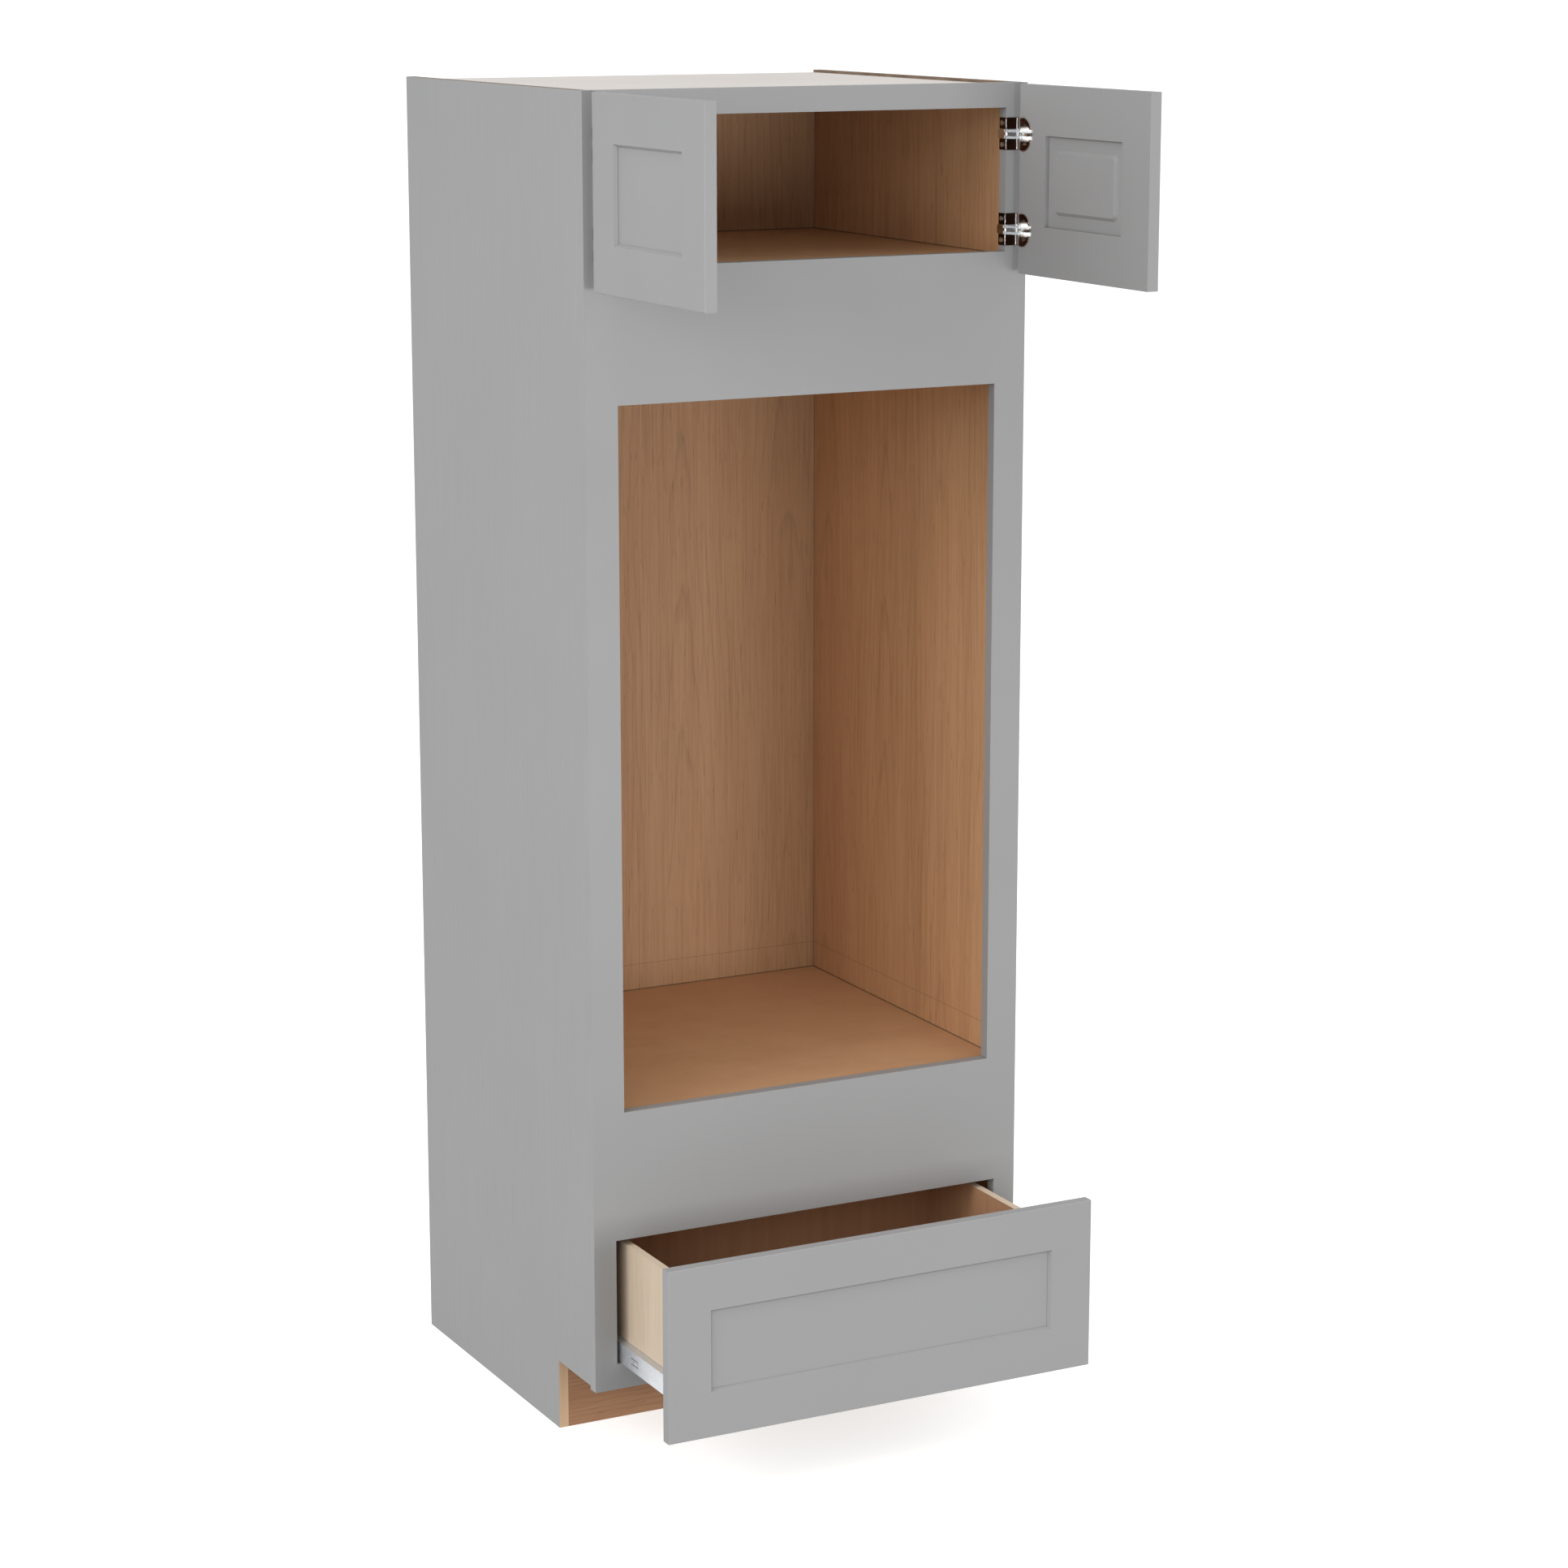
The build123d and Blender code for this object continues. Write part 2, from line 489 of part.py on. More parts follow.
def doors():
    """Both doors, open at their rest angle about the outer corner of the closed door's hinge edge."""
    swing = Axis((FRONT_EDGE_X, FRONT_FACE_Y, 0), (0, 0, 1))
    pieces = framed_front(DOOR_INNER_X, FRONT_EDGE_X, DOOR_BOTTOM_Z, DOOR_TOP_Z)
    cups = []
    for z in HINGE_ZS:
        pieces["stile_high"] -= hinge_pocket(z)
        cups.extend(hinge_cup(z))
    names = {
        "stile_high": "hinge_stile",
        "stile_low": "meeting_stile",
        "rail_top": "rail_top",
        "rail_bottom": "rail_bottom",
        "panel": "panel",
    }
    for key, name in names.items():
        opened = pieces[key].rotate(swing, DOOR_REST_ANGLE)
        save(f"door_right_{name}", opened)
        save(f"door_left_{name}", mirrored(opened))
    opened_cups = Compound(children=cups).rotate(swing, DOOR_REST_ANGLE)
    save("door_right_hinge_cups", opened_cups)
    save("door_left_hinge_cups", mirrored(opened_cups))


def front_screw_places():
    """Screws through the box front into the top bar of the drawer front."""
    y = FRONT_BACK_Y + BOX_STOCK + SCREW_HEAD_HEIGHT
    z = BOX_TOP_Z - FRONT_SCREW_BELOW_TOP
    spread = BOX_INNER_X / 4
    return [(spread * step, y, z) for step in (-3, -1, 1, 3)]


def drawer():
    """Drawer front, box and front screws, standing open."""
    opened = Pos(0, -DRAWER_REST_OPENING, 0)
    screws = [screw_blank(place, SCREW_HEAD_RADIUS, SCREW_HEAD_HEIGHT, FRONT_SCREW_LENGTH)
              - drive_recess(place, RECESS_DEPTH) for place in front_screw_places()]
    front = framed_front(-FRONT_EDGE_X, FRONT_EDGE_X, DRAWER_FRONT_BOTTOM_Z, DRAWER_FRONT_TOP_Z)
    names = {
        "stile_low": "drawer_front_stile_left",
        "stile_high": "drawer_front_stile_right",
        "rail_top": "drawer_front_rail_top",
        "rail_bottom": "drawer_front_rail_bottom",
        "panel": "drawer_front_panel",
    }
    box_bottom = slab(-BOX_JOINT_X, BOX_JOINT_X, FRONT_BACK_Y + BOX_STOCK / 2, BOX_END_Y - BOX_STOCK / 2,
                      BOX_FLOOR_Z, BOX_FLOOR_Z + BOX_BOTTOM_THICKNESS)
    box_front = slab(-BOX_JOINT_X, BOX_JOINT_X, FRONT_BACK_Y, FRONT_BACK_Y + BOX_STOCK,
                     BOX_BOTTOM_Z, BOX_TOP_Z)
    box_back = slab(-BOX_JOINT_X, BOX_JOINT_X, BOX_END_Y - BOX_STOCK, BOX_END_Y,
                    BOX_BOTTOM_Z, BOX_TOP_Z)
    box_side = slab(BOX_INNER_X, BOX_OUTER_X, FRONT_BACK_Y, BOX_END_Y, BOX_BOTTOM_Z, BOX_TOP_Z)
    box_side = box_side - box_front - box_back - box_bottom
    box_front -= box_bottom
    box_back -= box_bottom
    for screw in screws:
        box_front -= screw
        front["rail_top"] -= screw
    for key, name in names.items():
        save(name, opened * front[key])
    save_pair("drawer_side", opened * box_side)
    save("drawer_box_front", opened * box_front)
    save("drawer_box_back", opened * box_back)
    save("drawer_bottom", opened * box_bottom)
    save("drawer_front_screws", *[opened * screw for screw in screws])


def channel(inset, y0, y1, bottom, top, steel, inner_lift):
    """An inverted steel channel of the right runner, inset from the outermost one."""
    outer = RUNNER_OUTER_X - inset
    inner = RUNNER_INNER_X + inset
    section = slab(inner, outer, y0, y1, top - steel, top)
    section += slab(outer - steel, outer, y0, y1, bottom, top)
    return section + slab(inner, inner + steel, y0, y1, bottom + inner_lift, top)


def runner_tab(y):
    """Plain lanced stop tab in the outer web: a three-sided slot with a round hole in it."""
    x = RUNNER_OUTER_X - RUNNER_STEEL / 2
    z = (RUNNER_BOTTOM_Z + RUNNER_TOP_Z) / 2
    reach = RUNNER_STEEL
    half = TAB_HEIGHT / 2
    cut = slab(x - reach, x + reach, y, y + TAB_LENGTH, z + half - TAB_SLOT, z + half)
    cut += slab(x - reach, x + reach, y, y + TAB_LENGTH, z - half, z - half + TAB_SLOT)
    cut += slab(x - reach, x + reach, y, y + TAB_SLOT, z - half, z + half)
    hole = Pos(x, y + TAB_LENGTH * 2 / 3, z) * Rot(0, 90, 0) * Cylinder(TAB_HOLE_RADIUS, 2 * reach)
    return cut + hole


def runners():
    """Fixed, middle and drawer members, with bearers, front foot, rear stop, hooks and locking clips."""
    opened = Pos(0, -DRAWER_REST_OPENING, 0)
    drawer_member = channel(0, FRONT_BACK_Y, BOX_END_Y, RUNNER_BOTTOM_Z, RUNNER_TOP_Z, RUNNER_STEEL,
                            RUNNER_INNER_WEB_LIFT)
    drawer_member += slab(RUNNER_INNER_X, BOX_JOINT_X, BOX_END_Y, BOX_END_Y + RUNNER_STEEL,
                          RUNNER_TOP_Z - RUNNER_STEEL, RUNNER_TOP_Z + RUNNER_HOOK_HEIGHT)
    drawer_member -= runner_tab(FRONT_BACK_Y + TAB_FROM_FRONT)
    save_pair("runner_drawer_member", opened * drawer_member)

    middle = channel(MIDDLE_INSET, RUNNER_START, FIXED_END_Y, FIXED_BOTTOM_Z, RUNNER_TOP_Z - MIDDLE_INSET,
                     RUNNER_STEEL, RUNNER_INNER_WEB_LIFT)
    save_pair("runner_middle_member", Pos(0, MIDDLE_REST_SHIFT, 0) * middle)

    fixed_outer = RUNNER_OUTER_X - FIXED_INSET
    fixed_inner = RUNNER_INNER_X + FIXED_INSET
    hollow = slab(fixed_inner + RUNNER_FIXED_STEEL, fixed_outer - RUNNER_FIXED_STEEL,
                  RUNNER_START, FIXED_END_Y,
                  FIXED_BOTTOM_Z + RUNNER_FIXED_STEEL, FIXED_TOP_Z - RUNNER_FIXED_STEEL)
    fixed = slab(fixed_inner, fixed_outer, RUNNER_START, FIXED_END_Y, FIXED_BOTTOM_Z, FIXED_TOP_Z) - hollow
    foot = slab(fixed_inner, fixed_outer, FRAME_Y, FRAME_Y + RUNNER_FOOT_THICKNESS, BOTTOM_DECK_TOP_Z,
                FIXED_BOTTOM_Z)
    fixed += foot
    save_pair("runner_fixed_member", fixed)

    bearer = slab(fixed_inner, fixed_outer, FRAME_Y + RUNNER_FOOT_THICKNESS, FIXED_END_Y - BEARER_END_GAP,
                  BOTTOM_DECK_TOP_Z, FIXED_BOTTOM_Z)
    save("runner_bearers", bearer, mirrored(bearer))
    stop = slab(fixed_inner + RUNNER_FIXED_STEEL, fixed_outer - RUNNER_FIXED_STEEL,
                FIXED_END_Y - RUNNER_STOP_LENGTH, FIXED_END_Y, FIXED_BOTTOM_Z + RUNNER_FIXED_STEEL,
                FIXED_TOP_Z - RUNNER_FIXED_STEEL)
    save("runner_rear_stops", stop, mirrored(stop))

    width, length, height = CLIP_SIZE
    clip_y = FRONT_BACK_Y + BOX_STOCK
    clip = slab(RUNNER_INNER_X - width, RUNNER_INNER_X, clip_y, clip_y + length, BOX_FLOOR_Z - height,
                BOX_FLOOR_Z)
    clip = chamfer(clip.edges().filter_by(Axis.Y).group_by(Axis.Z)[0], height / 4)
    save("drawer_lock_clips", opened * clip, opened * mirrored(clip))


def main():
    """Build and write every sub-part."""
    os.makedirs("parts", exist_ok=True)
    boards = carcass_boards()
    for name, board in boards.items():
        save(name, board)
    save_pair("side_panel", side_panel(boards))
    screws = [screw for z in HINGE_ZS for screw in base_screws(z)]
    face_frame(screws)
    carcass_stiffeners()
    doors()
    hinges(screws)
    drawer()
    runners()


main()
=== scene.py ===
import math

import bmesh
import bpy
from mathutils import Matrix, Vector


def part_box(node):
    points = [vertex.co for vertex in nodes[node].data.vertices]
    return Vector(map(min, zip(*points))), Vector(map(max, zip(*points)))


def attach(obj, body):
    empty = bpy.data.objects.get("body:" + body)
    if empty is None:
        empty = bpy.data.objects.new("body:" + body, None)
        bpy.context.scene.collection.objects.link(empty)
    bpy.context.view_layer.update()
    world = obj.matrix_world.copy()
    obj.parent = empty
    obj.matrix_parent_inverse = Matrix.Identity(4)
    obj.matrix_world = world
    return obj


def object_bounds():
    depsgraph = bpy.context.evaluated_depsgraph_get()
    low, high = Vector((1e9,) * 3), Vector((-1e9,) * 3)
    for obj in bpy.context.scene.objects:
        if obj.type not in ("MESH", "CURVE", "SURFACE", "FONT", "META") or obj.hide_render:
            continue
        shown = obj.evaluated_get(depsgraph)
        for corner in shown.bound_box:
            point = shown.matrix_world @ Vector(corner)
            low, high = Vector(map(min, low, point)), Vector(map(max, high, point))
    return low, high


# Looks for the tall oven and pantry cabinet. Metres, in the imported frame: the front faces -Y and +Z is up.

MM = 0.001

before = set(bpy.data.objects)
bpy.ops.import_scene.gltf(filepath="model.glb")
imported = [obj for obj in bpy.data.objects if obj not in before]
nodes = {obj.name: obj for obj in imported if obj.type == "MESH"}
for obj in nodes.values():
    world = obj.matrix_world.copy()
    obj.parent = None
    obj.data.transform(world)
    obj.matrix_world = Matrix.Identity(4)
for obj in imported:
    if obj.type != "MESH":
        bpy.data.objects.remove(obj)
cad_low, cad_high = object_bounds()

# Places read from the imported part
INNER_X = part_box("side_panel_right")[0].x
BACK_WALL_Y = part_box("back_panel")[0].y
OVEN_DECK_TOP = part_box("oven_deck")[1].z
UPPER_DECK_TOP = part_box("upper_deck")[1].z
TOP_PANEL_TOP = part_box("top_panel")[1].z
JAMB_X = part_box("frame_stile_right")[0].x

# Hinges: half a plate's height, its steel, and the two heights they sit at
HINGE_PLATE_HALF = 25 * MM
PLATE_THICKNESS = 0.9 * MM
hinge_low, hinge_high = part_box("hinge_bases_right")
HINGE_ZS = (hinge_low.z + HINGE_PLATE_HALF, hinge_high.z - HINGE_PLATE_HALF)

# Bright edges on the hinges. A closed door leaves 0.3 mm, and an edge of either side may stand in it.
EDGE_STAND = 0.1 * MM
ROLL_RADIUS = 0.95 * MM
ROLL_PAST_JAMB = 0.25 * MM
RIB_HALF_WIDTH = 0.8 * MM
RIB_FROM_JAMB = 19 * MM
RIM_HALF_WIDTH = 0.7 * MM
RIM_RADIUS = 25.6 * MM
RIM_CENTRE_INSET = 8.3 * MM
RIM_GAP_HALF = 10 * MM
DOME_SHARE = 0.6

# Lines in the cavity: a veneer seam, and painted shade along the deck joints and the inside corners
SEAM_ABOVE_DECK = 46 * MM
SEAM_HALF_WIDTH = 0.5 * MM
JOINT_SHADE_HALF_WIDTH = 1.1 * MM
CORNER_SHADE_HALF_WIDTH = 1.2 * MM


def box_of(names):
    """Lowest and highest corner of several nodes."""
    corners = [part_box(name) for name in names]
    low = Vector(min(pair[0][axis] for pair in corners) for axis in range(3))
    high = Vector(max(pair[1][axis] for pair in corners) for axis in range(3))
    return low, high


class Nodes:
    """One material's node tree, with short calls for the nodes that the materials share."""

    def __init__(self, name):
        self.material = bpy.data.materials.new(name)
        self.material.use_nodes = True
        self.tree = self.material.node_tree
        self.shader = self.tree.nodes["Principled BSDF"]
        self.coords = self.add("ShaderNodeTexCoord")
        self.place = self.coords.outputs["Object"]
        self.x, self.y, self.z = self.split(self.place)

    def add(self, kind, **settings):
        node = self.tree.nodes.new(kind)
        for key, value in settings.items():
            setattr(node, key, value)
        return node

    def put(self, socket, value):
        """Link a socket to another, or set it to a constant."""
        if isinstance(value, bpy.types.NodeSocket):
            self.tree.links.new(value, socket)
        else:
            socket.default_value = value

    def split(self, vector):
        node = self.add("ShaderNodeSeparateXYZ")
        self.put(node.inputs[0], vector)
        return node.outputs[0], node.outputs[1], node.outputs[2]

    def join(self, x, y, z):
        node = self.add("ShaderNodeCombineXYZ")
        for socket, value in zip(node.inputs, (x, y, z)):
            self.put(socket, value)
        return node.outputs[0]

    def math(self, operation, a, b=0.0):
        node = self.add("ShaderNodeMath", operation=operation)
        for socket, value in zip(node.inputs, (a, b)):
            self.put(socket, value)
        return node.outputs[0]

    def noise(self, vector, scale, detail=2.0, roughness=0.5):
        node = self.add("ShaderNodeTexNoise")
        self.put(node.inputs["Vector"], vector)
        self.put(node.inputs["Scale"], scale)
        self.put(node.inputs["Detail"], detail)
        self.put(node.inputs["Roughness"], roughness)
        return node.outputs["Fac"]

    def remap(self, value, low, high, to_low=0.0, to_high=1.0, smooth=False):
        kind = "SMOOTHSTEP" if smooth else "LINEAR"
        node = self.add("ShaderNodeMapRange", interpolation_type=kind)
        for socket, item in zip(node.inputs, (value, low, high, to_low, to_high)):
            self.put(socket, item)
        return node.outputs[0]

    def mix(self, share, a, b, blend="MIX"):
        node = self.add("ShaderNodeMix", data_type="RGBA", blend_type=blend)
        self.put(node.inputs[0], share)
        for socket, value in ((node.inputs[6], a), (node.inputs[7], b)):
            self.put(socket, (*value, 1.0) if isinstance(value, tuple) else value)
        return node.outputs[2]

    def ramp(self, value, stops):
        node = self.add("ShaderNodeValToRGB")
        self.put(node.inputs[0], value)
        elements = node.color_ramp.elements
        while len(elements) < len(stops):
            elements.new(0.5)
        for element, (position, colour) in zip(elements, stops):
            element.position = position
            element.color = (*colour, 1.0)
        return node.outputs[0]

    def scaled(self, colour, factor):
        """Colour times a grey factor, a socket or a number."""
        if not isinstance(factor, bpy.types.NodeSocket):
            return self.mix(1.0, colour, (factor, factor, factor), "MULTIPLY")
        return self.mix(1.0, colour, self.join(factor, factor, factor), "MULTIPLY")

    def darken(self, colour, mask, share, factor):
        """Colour times factor where mask is 1, mixed in by share."""
        return self.mix(self.math("MULTIPLY", mask, share), colour, self.scaled(colour, factor))

    def near(self, value, target, width):
        """1 where value is within width of target, soft over as much again."""
        distance = self.math("ABSOLUTE", self.math("SUBTRACT", value, target))
        return self.remap(distance, width, 2 * width, 1.0, 0.0, smooth=True)

    def bump(self, height, distance, strength=1.0):
        node = self.add("ShaderNodeBump")
        self.put(node.inputs["Height"], height)
        self.put(node.inputs["Distance"], distance)
        self.put(node.inputs["Strength"], strength)
        self.put(self.shader.inputs["Normal"], node.outputs[0])

    def crevice(self, distance):
        """Ambient occlusion: 0 in a tight corner, 1 in the open. The materials use it to paint shade into
        corners and recesses.
        """
        node = self.add("ShaderNodeAmbientOcclusion", samples=6)
        self.put(node.inputs["Distance"], distance)
        return node.outputs["AO"]

    def finish(self, colour, roughness, **constants):
        self.put(self.shader.inputs["Base Color"], colour)
        self.put(self.shader.inputs["Roughness"], roughness)
        for key, value in constants.items():
            self.shader.inputs[key.replace("_", " ")].default_value = value
        return self.material


PAINT_GREY = (0.296, 0.296, 0.297)
# How far the painted corner shade reaches
PAINT_SHADE_REACH = 4 * MM
PAINT_PEEL = 0.05 * MM


def paint_colour(n):
    """Satin paint: a faint cloudiness, dust-fine speckle, and painted shade that darkens it in corners and
    recesses.
    """
    cloud = n.remap(n.noise(n.place, 3.1, 3.0), 0.3, 0.7, 0.985, 1.015)
    speckle = n.remap(n.noise(n.place, 1700.0, 1.0), 0.35, 0.65, 0.988, 1.012)
    # Painted shade: ambient occlusion darkens the paint in corners and recesses.
    corner = n.remap(n.crevice(PAINT_SHADE_REACH), 0.15, 0.80, 0.68, 1.0)
    shade = n.math("MULTIPLY", n.math("MULTIPLY", cloud, speckle), corner)
    return n.scaled(PAINT_GREY, shade)


def paint_surface(n):
    """Roughness and orange peel of sprayed paint."""
    rough = n.remap(n.noise(n.place, 9.0, 3.0), 0.3, 0.7, 0.44, 0.56)
    peel = n.noise(n.place, 420.0, 2.0, 0.4)
    n.bump(peel, PAINT_PEEL, 0.35)
    return rough


def grey_paint():
    n = Nodes("grey_paint")
    return n.finish(paint_colour(n), paint_surface(n), Specular_IOR_Level=0.25)


# Veneer: growth rings, the slant of the cut through them, its depth from the heart, and the pores
RINGS_PER_METRE = 95.0
CUT_SLANT = 0.042
CUT_DEPTH_SPAN = 0.07
CUT_LEAST_DEPTH = 0.012
HEART_WANDER = 0.07
PORE_DEPTH = 0.06 * MM


def veneer(n, across, along, light, middle, dark, leaf_width=0.19, figure=0.42, fleck_share=0.5):
    """Plain-sliced maple veneer: leaves side by side, each with faint arches, streaks and short flecks.

    Each leaf is a slanting cut through round growth rings, which shows them as arches.
    """

    def stretched(across_scale, along_scale):
        """Place for a noise with so many cells per metre across and along the grain."""
        return n.join(n.math("MULTIPLY", across, across_scale), n.math("MULTIPLY", along, along_scale), far)

    leaf_place = n.math("DIVIDE", across, leaf_width)
    pick = n.add("ShaderNodeTexWhiteNoise", noise_dimensions="1D")
    n.put(pick.inputs["W"], n.math("FLOOR", leaf_place))
    chance = pick.outputs["Value"]
    far = n.math("MULTIPLY", chance, 7.3)
    centred = n.math("MULTIPLY", n.math("SUBTRACT", n.math("FRACT", leaf_place), 0.5), leaf_width)
    wander = n.math("MULTIPLY", n.math("SUBTRACT", n.noise(stretched(7.0, 1.6), 1.0, 3.0), 0.5), HEART_WANDER)
    side = n.math("ADD", n.math("ADD", centred, wander), n.math("MULTIPLY", chance, 0.03))
    rise = n.math("ADD", n.math("MULTIPLY", along, CUT_SLANT), n.math("MULTIPLY", chance, 0.17))
    depth = n.math("ADD", n.math("PINGPONG", rise, CUT_DEPTH_SPAN), CUT_LEAST_DEPTH)
    reach = n.math("SQRT", n.math("ADD", n.math("MULTIPLY", side, side), n.math("MULTIPLY", depth, depth)))
    waver = n.math("MULTIPLY", n.noise(stretched(90.0, 5.0), 1.0), 0.5)
    ring = n.math("FRACT", n.math("ADD", n.math("MULTIPLY", reach, RINGS_PER_METRE), waver))
    slow_edge = n.remap(ring, 0.70, 0.94, smooth=True)
    sharp_edge = n.remap(ring, 0.94, 1.0, 1.0, 0.0, smooth=True)
    line = n.math("MULTIPLY", slow_edge, sharp_edge)
    fading = n.remap(n.noise(stretched(14.0, 2.4), 1.0, 2.0), 0.42, 0.62, smooth=True)
    line = n.math("MULTIPLY", line, fading)
    streak = n.noise(stretched(330.0, 5.0), 1.0, 5.0, 0.7)
    broad = n.noise(stretched(16.0, 0.9), 1.0, 2.0)
    fleck = n.remap(n.noise(stretched(430.0, 24.0), 1.0, 1.0), 0.655, 0.73, smooth=True)
    hair = n.remap(n.noise(stretched(620.0, 2.2), 1.0, 1.0), 0.62, 0.70, smooth=True)
    tone = n.math("ADD", n.math("MULTIPLY", streak, 0.72), n.math("MULTIPLY", broad, 0.28))
    colour = n.ramp(tone, ((0.38, dark), (0.5, middle), (0.64, light)))
    colour = n.darken(colour, line, figure, 0.68)
    colour = n.darken(colour, fleck, fleck_share, 0.60)
    colour = n.darken(colour, hair, 0.35, 0.72)
    colour = n.scaled(colour, n.remap(chance, 0.0, 1.0, 0.97, 1.03))
    height = n.math("SUBTRACT", streak, n.math("MULTIPLY", fleck, 0.6))
    n.bump(height, PORE_DEPTH, 0.5)
    rough = n.remap(streak, 0.3, 0.7, 0.42, 0.56)
    return colour, rough


INTERIOR_LIGHT = (0.640, 0.388, 0.212)
INTERIOR_MIDDLE = (0.585, 0.343, 0.184)
INTERIOR_DARK = (0.500, 0.283, 0.149)


def wall_lines(n, colour):
    """Lines on the inside walls: a seam above the appliance deck, and painted shade along the joint at each
    deck and in the rear corner.
    """
    seam = n.near(n.z, OVEN_DECK_TOP + SEAM_ABOVE_DECK, SEAM_HALF_WIDTH)
    colour = n.darken(colour, seam, 0.42, 0.45)
    # Painted shade: dark lines along the joints where the decks meet the walls.
    for deck_top in (OVEN_DECK_TOP, UPPER_DECK_TOP):
        painted_joint_shade = n.near(n.z, deck_top, JOINT_SHADE_HALF_WIDTH)
        colour = n.darken(colour, painted_joint_shade, 0.8, 0.30)
    # Painted shade: a dark line in the rear corner, where the wall meets the back.
    corner = n.near(n.y, BACK_WALL_Y, CORNER_SHADE_HALF_WIDTH)
    return n.darken(colour, corner, 0.4, 0.40)


def side_panel_finish():
    """Side panel: paint outside, veneer inside, raw board on its cut edges, and darker on its top rim."""
    n = Nodes("side_panel_finish")
    across = n.math("ADD", n.x, n.y)
    colour, rough = veneer(n, across, n.z, INTERIOR_LIGHT, INTERIOR_MIDDLE, INTERIOR_DARK)
    inside = wall_lines(n, colour)
    outside = paint_colour(n)
    normal_x, _, normal_z = n.split(n.coords.outputs["Normal"])
    outward = n.math("MULTIPLY", normal_x, n.math("SIGN", n.x))
    is_outer = n.math("GREATER_THAN", outward, 0.5)
    below_top = n.math("LESS_THAN", n.z, TOP_PANEL_TOP)
    is_inner = n.math("MULTIPLY", n.math("LESS_THAN", outward, -0.5), below_top)
    edge_grain = n.noise(n.join(n.math("MULTIPLY", n.x, 900.0), n.math("MULTIPLY", n.y, 30.0), n.z), 1.0, 3.0)
    edge = n.ramp(edge_grain, ((0.3, (0.42, 0.27, 0.16)), (0.7, (0.60, 0.42, 0.27))))
    # The top rim and the faces above the top panel are darkened.
    dark_top_rim = n.math("MAXIMUM", n.math("GREATER_THAN", normal_z, 0.5), n.math("SUBTRACT", 1.0, below_top))
    edge = n.mix(dark_top_rim, edge, n.mix(1.0, edge, (0.33, 0.33, 0.36), "MULTIPLY"))
    colour = n.mix(is_outer, n.mix(is_inner, edge, inside), outside)
    return n.finish(colour, rough, Specular_IOR_Level=0.25)


def back_wall_finish():
    """Back panel: veneer on both faces, and only on the inner one the seam line and painted shade along its
    joints and side corners.
    """
    n = Nodes("back_wall_finish")
    across = n.math("ADD", n.x, n.y)
    plain, rough = veneer(n, across, n.z, INTERIOR_LIGHT, INTERIOR_MIDDLE, INTERIOR_DARK)
    colour = wall_lines(n, plain)
    # Painted shade: a dark line in each corner where the back meets a side wall.
    side = n.near(n.math("ABSOLUTE", n.x), INNER_X, CORNER_SHADE_HALF_WIDTH)
    colour = n.darken(colour, side, 0.4, 0.40)
    _, normal_y, _ = n.split(n.coords.outputs["Normal"])
    colour = n.mix(n.math("LESS_THAN", normal_y, -0.5), plain, colour)
    return n.finish(colour, rough, Specular_IOR_Level=0.25)


def deck_finish():
    """Decks: smoother veneer with its grain across the width, blotches, and painted shade along the joints
    with the back and side walls.
    """
    n = Nodes("deck_finish")
    across = n.math("ADD", n.y, n.z)
    grain, rough = veneer(n, across, n.x, INTERIOR_LIGHT, INTERIOR_MIDDLE, INTERIOR_DARK,
                          leaf_width=0.23, figure=0.3, fleck_share=0.3)
    blotch = n.noise(n.place, 13.0, 4.0, 0.6)
    smooth = n.ramp(blotch, ((0.35, (0.640, 0.388, 0.215)), (0.65, (0.700, 0.437, 0.247))))
    colour = n.mix(0.66, grain, smooth)
    # Painted shade: dark lines where the deck meets the back and the side walls.
    back = n.near(n.y, BACK_WALL_Y, JOINT_SHADE_HALF_WIDTH)
    side = n.near(n.math("ABSOLUTE", n.x), INNER_X, JOINT_SHADE_HALF_WIDTH)
    painted_gap_shade = n.math("MAXIMUM", back, side)
    colour = n.darken(colour, painted_gap_shade, 0.8, 0.30)
    return n.finish(colour, rough, Specular_IOR_Level=0.3)


def drawer_maple(name, upright):
    """Drawer box: light maple outside and on its top edges, and painted shade on the faces that look into it:
    a darker warm brown copy of the maple.

    The grain of the upright boards runs up, and that of the floor runs from side to side.
    """
    n = Nodes(name)
    across = n.math("ADD", n.x if upright else n.z, n.y)
    along = n.z if upright else n.x
    streak = n.noise(n.join(n.math("MULTIPLY", across, 60.0), n.math("MULTIPLY", along, 3.0), 0.0), 1.0, 3.0)
    # Painted shade: a darker, browner copy of the maple for the faces that look into the box.
    inside = n.ramp(streak, ((0.3, (0.385, 0.213, 0.118)), (0.7, (0.440, 0.252, 0.143))))
    light, middle, dark = (0.655, 0.538, 0.410), (0.622, 0.502, 0.376), (0.588, 0.466, 0.342)
    outside, rough = veneer(n, across, along, light, middle, dark,
                            leaf_width=0.31, figure=0.2, fleck_share=0.15)
    low, high = box_of(("drawer_side_left", "drawer_side_right"))
    toward = n.add("ShaderNodeVectorMath", operation="SUBTRACT")
    toward.inputs[0].default_value = (low + high) / 2
    n.put(toward.inputs[1], n.place)
    facing = n.add("ShaderNodeVectorMath", operation="DOT_PRODUCT")
    n.put(facing.inputs[0], toward.outputs[0])
    n.put(facing.inputs[1], n.coords.outputs["Normal"])
    # Faces that look into the box take the painted shade copy.
    colour = n.mix(n.math("GREATER_THAN", facing.outputs["Value"], 0.0), outside, inside)
    return n.finish(colour, rough, Specular_IOR_Level=0.3)


